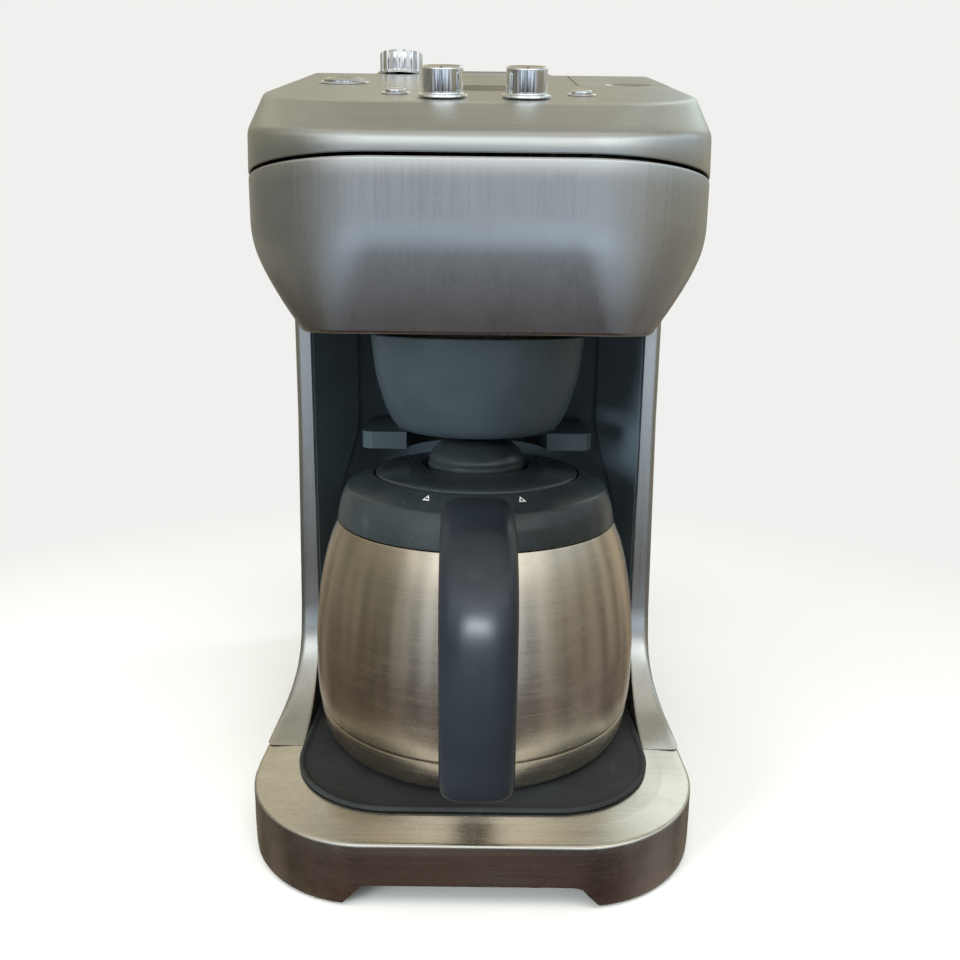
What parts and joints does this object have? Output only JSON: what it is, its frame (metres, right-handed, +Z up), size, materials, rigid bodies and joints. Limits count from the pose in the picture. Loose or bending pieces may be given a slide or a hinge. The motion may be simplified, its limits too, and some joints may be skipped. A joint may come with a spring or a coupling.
{
  "type": "drip coffee maker",
  "caption": "Grind-and-brew drip coffee maker with an overhanging steel head, control dials, a sliding brew basket and a lidded thermal carafe on a rubber mat.",
  "frame": {"origin": "centre of the footprint on the surface the machine stands on, with the carafe handle counted in the footprint", "axes": "+Z up, the front faces -Y, +X to the right seen from the front"},
  "size_m": [0.216, 0.3297, 0.4044],
  "materials": {
    "steel": "brushed, vertical grain",
    "deck_steel": "brushed, fore-and-aft grain",
    "chrome": "polished",
    "black_plastic": "fine satin texture",
    "grey_plastic": "satin",
    "handle_plastic": "soft-touch satin",
    "rubber": "matte",
    "carafe_steel": "brushed round the axis",
    "clear_plastic": "smoky clear",
    "glass": "gloss dark window",
    "zinc": "machined",
    "brass": "machined",
    "board": "circuit board",
    "white_plastic": "moulded",
    "filter_mesh": "fine woven mesh"
  },
  "bodies": {
    "housing": {"base_shell": "deck_steel", "bottom_plate": "black_plastic", "foot_front_left": "rubber", "foot_front_right": "rubber", "foot_rear_left": "rubber", "foot_rear_right": "rubber", "base_screw_front_left": "zinc", "base_screw_front_right": "zinc", "base_screw_rear_left": "zinc", "base_screw_rear_right": "zinc", "column_side_left": "steel", "column_side_right": "steel", "cavity_liner": "black_plastic", "back_panel": "black_plastic", "cord_gland": "rubber", "level_window": "clear_plastic", "head_skirt": "steel", "head_underside": "black_plastic", "top_cover": "steel", "tank_lid_pin": "zinc", "lcd_window": "glass", "display_module": "board", "control_board": "board", "bean_hopper": "clear_plastic", "grinder_housing": "grey_plastic", "grinder_motor": "zinc", "grounds_chute": "black_plastic", "water_tank": "clear_plastic", "flow_heater": "zinc", "feed_hose": "rubber", "riser_hose": "rubber", "shower_head": "white_plastic", "basket_cradle": "grey_plastic"},
    "drip_mat": {"drip_mat": "rubber"},
    "carafe": {"carafe_base_cup": "carafe_steel", "carafe_body": "carafe_steel", "carafe_flask": "carafe_steel", "carafe_collar": "black_plastic", "carafe_handle": "handle_plastic"},
    "carafe_lid": {"carafe_lid": "black_plastic"},
    "lid_button": {"lid_button": "grey_plastic"},
    "brew_basket": {"brew_basket": "grey_plastic", "mesh_filter": "filter_mesh", "drip_stop_spring": "zinc"},
    "drip_stop_valve": {"drip_stop_valve": "rubber"},
    "tank_lid": {"tank_lid": "deck_steel"},
    "hopper_lid": {"hopper_lid": "deck_steel"},
    "dial_left": {"dial_left": "chrome"},
    "dial_right": {"dial_right": "chrome"},
    "grind_dial": {"grind_dial": "chrome"},
    "outer_burr_ring": {"outer_burr_ring": "brass"},
    "burr_drive": {"drive_gear": "white_plastic", "inner_burr": "zinc"},
    "motor_pinion": {"motor_pinion": "brass"},
    "start_button": {"start_button": "chrome"},
    "button_left": {"button_left": "chrome"},
    "button_right": {"button_right": "chrome"}
  },
  "joints": [
    {"name": "carafe_pull", "type": "slide", "parent": "housing", "child": "carafe", "axis": [0, -1, 0], "range_m": [0, 0.26]},
    {"name": "carafe_lid_twist", "type": "hinge", "parent": "carafe", "child": "carafe_lid", "pos_m": [0, -0.035, 0.17], "axis": [0, 0, 1], "range_deg": [0, 42]},
    {"name": "lid_button_travel", "type": "slide", "parent": "carafe_lid", "child": "lid_button", "axis": [0, 0, -1], "range_m": [0, 0.002], "stiffness_N_per_m": 400, "springref_m": -0.002},
    {"name": "basket_pull", "type": "slide", "parent": "housing", "child": "brew_basket", "axis": [0, -1, 0], "range_m": [0, 0.15]},
    {"name": "drip_stop_travel", "type": "slide", "parent": "brew_basket", "child": "drip_stop_valve", "axis": [0, 0, 1], "range_m": [0, 0.0012], "stiffness_N_per_m": 300, "springref_m": -0.003, "deforming": ["drip_stop_spring"]},
    {"name": "drip_mat_pull", "type": "slide", "parent": "housing", "child": "drip_mat", "axis": [0, -1, 0], "range_m": [0, 0.16]},
    {"name": "tank_lid_hinge", "type": "hinge", "parent": "housing", "child": "tank_lid", "pos_m": [0.073, 0.1165, 0.3884], "axis": [-1, 0, 0], "range_deg": [0, 95]},
    {"name": "hopper_lid_lift", "type": "slide", "parent": "housing", "child": "hopper_lid", "axis": [0, 0, 1], "range_m": [0, 0.08]},
    {"name": "dial_left_turn", "type": "hinge", "parent": "housing", "child": "dial_left", "pos_m": [-0.0163, -0.073, 0.34996], "axis": [0, -0.2857, 0.9583], "continuous": true},
    {"name": "dial_right_turn", "type": "hinge", "parent": "housing", "child": "dial_right", "pos_m": [0.0203, -0.073, 0.34996], "axis": [0, -0.2857, 0.9583], "continuous": true},
    {"name": "grind_dial_turn", "type": "hinge", "parent": "housing", "child": "grind_dial", "pos_m": [-0.0476, 0.075, 0.39], "axis": [0, 0, 1], "range_deg": [-120, 120]},
    {"name": "outer_burr_turn", "type": "hinge", "parent": "housing", "child": "outer_burr_ring", "pos_m": [0, 0.1, 0.32], "axis": [0, 0, 1], "range_deg": [-84, 84]},
    {"name": "burr_spin", "type": "hinge", "parent": "housing", "child": "burr_drive", "pos_m": [0, 0.1, 0.3], "axis": [0, 0, 1], "continuous": true},
    {"name": "motor_spin", "type": "hinge", "parent": "housing", "child": "motor_pinion", "pos_m": [-0.031, 0.108, 0.27], "axis": [0, 0, 1], "continuous": true},
    {"name": "start_press", "type": "slide", "parent": "housing", "child": "start_button", "axis": [0, 0.2857, -0.9583], "range_m": [0, 0.0012], "stiffness_N_per_m": 900, "springref_m": -0.001},
    {"name": "button_left_press", "type": "slide", "parent": "housing", "child": "button_left", "axis": [0, 0.2857, -0.9583], "range_m": [0, 0.001], "stiffness_N_per_m": 700, "springref_m": -0.001},
    {"name": "button_right_press", "type": "slide", "parent": "housing", "child": "button_right", "axis": [0, 0.2857, -0.9583], "range_m": [0, 0.001], "stiffness_N_per_m": 700, "springref_m": -0.001}
  ],
  "couplings": [
    {"joint": "outer_burr_turn", "follows": "grind_dial_turn", "ratio": -0.69231},
    {"joint": "motor_spin", "follows": "burr_spin", "ratio": -3}
  ]
}
